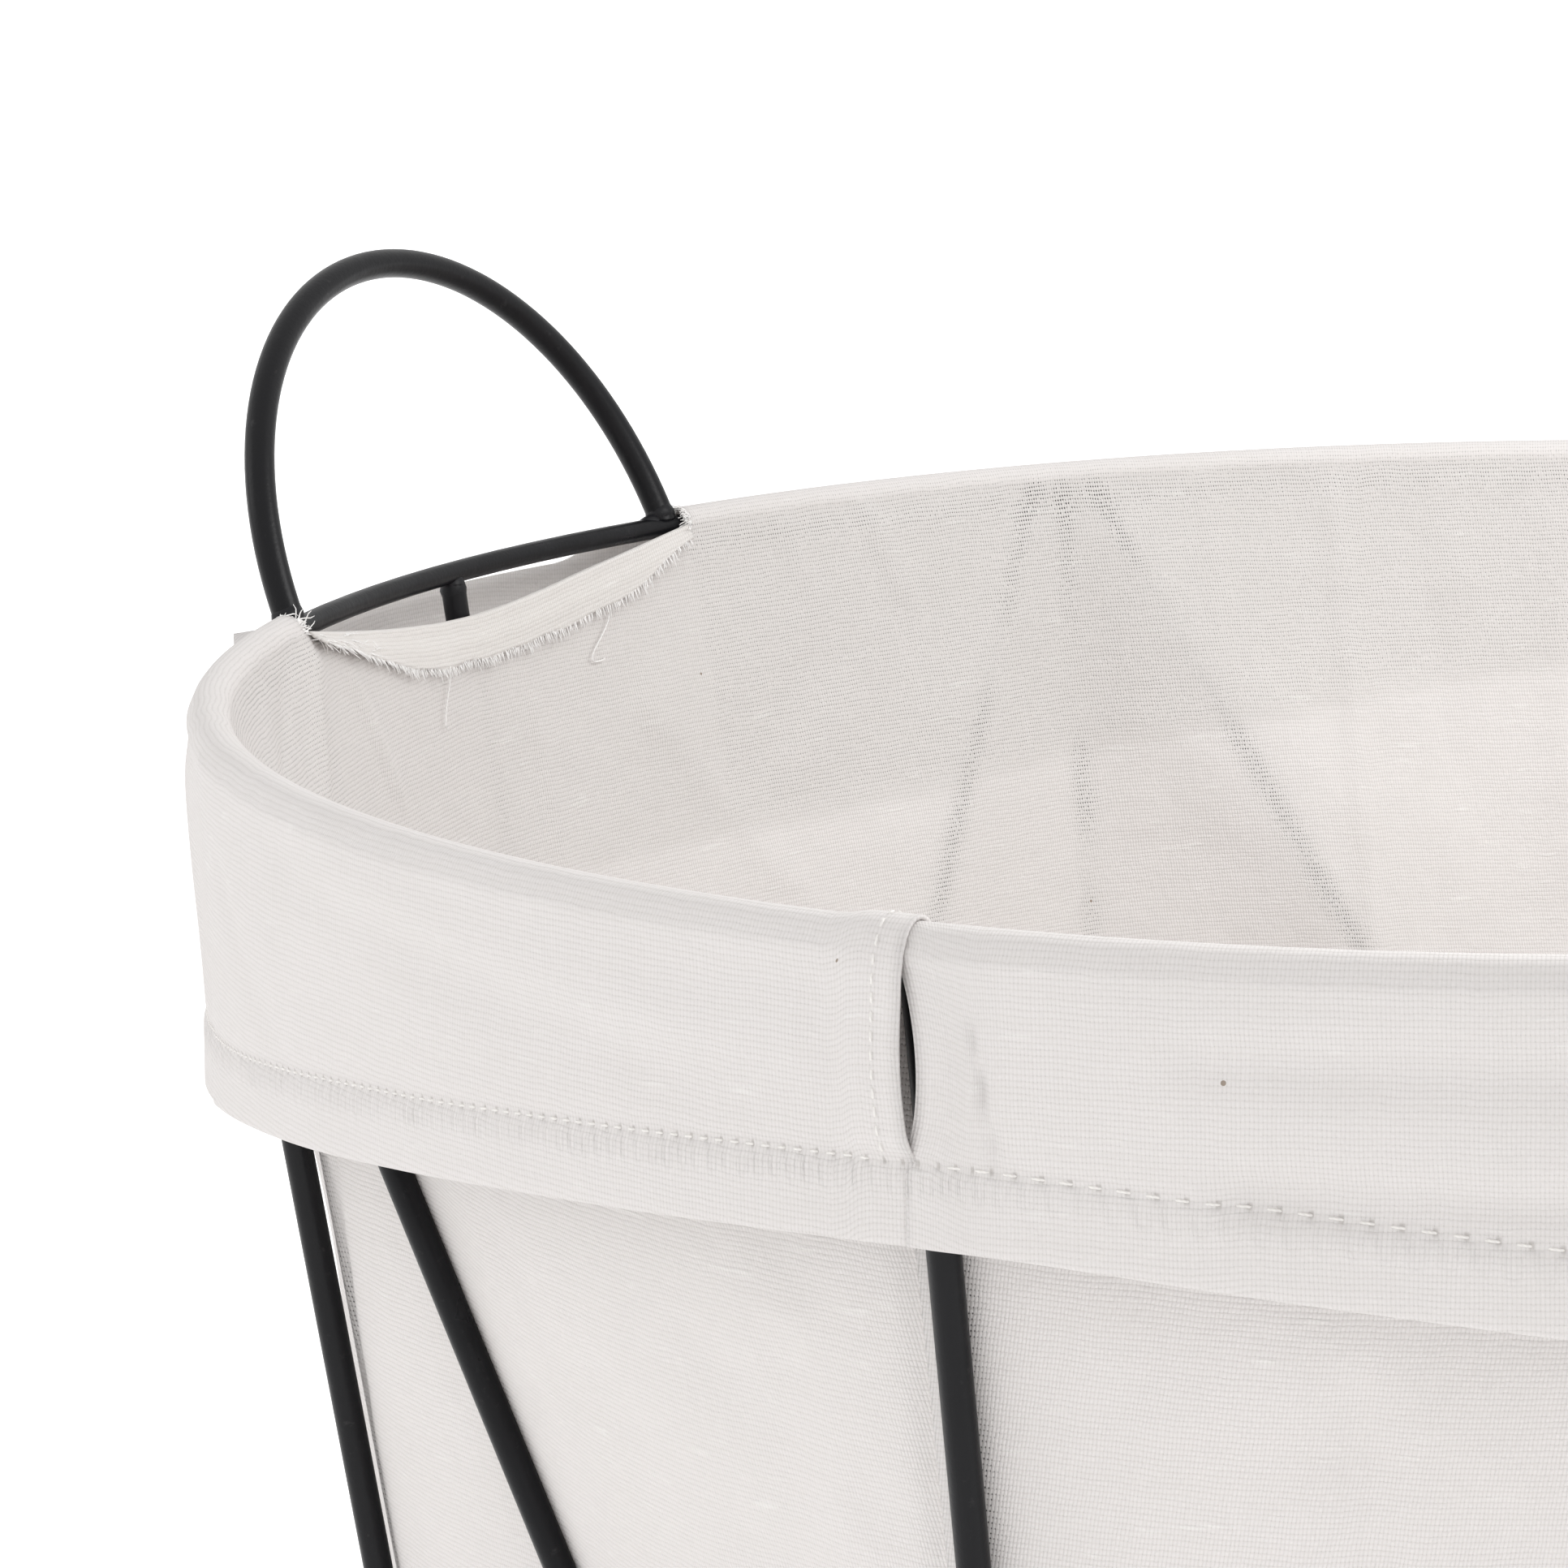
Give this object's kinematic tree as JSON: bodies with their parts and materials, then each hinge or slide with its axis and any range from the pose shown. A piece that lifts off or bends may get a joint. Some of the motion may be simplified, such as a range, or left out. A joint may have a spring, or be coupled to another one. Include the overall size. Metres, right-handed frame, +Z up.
{
  "type": "laundry basket",
  "caption": "Round black wire basket with hoop handles and a lift-out cotton liner turned over the rim as a hemmed cuff.",
  "frame": {"origin": "centre of the base, on the floor the basket stands on", "axes": "+X right, through the right handle; +Y back, through the rear side seam; +Z up"},
  "size_m": [0.4714, 0.4384, 0.3302],
  "materials": {
    "powder_coat": "satin black powder coat on round steel wire",
    "canvas": "unbleached off-white plain-weave cotton canvas, matt"
  },
  "bodies": {
    "frame": {"rim_ring": "powder_coat", "base_ring": "powder_coat", "base_bar": "powder_coat", "base_half_bar_front": "powder_coat", "base_half_bar_back": "powder_coat", "upright_right": "powder_coat", "upright_back_right": "powder_coat", "upright_back": "powder_coat", "upright_back_left": "powder_coat", "upright_left": "powder_coat", "upright_front_left": "powder_coat", "upright_front": "powder_coat", "upright_front_right": "powder_coat", "brace_back_right_to_right": "powder_coat", "brace_back_right_to_back": "powder_coat", "brace_back_left_to_back": "powder_coat", "brace_back_left_to_left": "powder_coat", "brace_front_left_to_left": "powder_coat", "brace_front_left_to_front": "powder_coat", "brace_front_right_to_front": "powder_coat", "brace_front_right_to_right": "powder_coat", "left_handle": "powder_coat", "right_handle": "powder_coat"},
    "liner": {"liner_wall_left": "canvas", "liner_wall_right": "canvas", "liner_bottom": "canvas", "cuff_left": "canvas", "cuff_right": "canvas", "hem_left": "canvas", "hem_right": "canvas", "cuff_seam_front": "canvas", "cuff_seam_back": "canvas", "slit_facing_left": "canvas", "slit_facing_right": "canvas"}
  },
  "joints": [
    {"name": "liner_lift", "type": "slide", "parent": "frame", "child": "liner", "axis": [0, 0, 1], "range_m": [0, 0.335]}
  ]
}
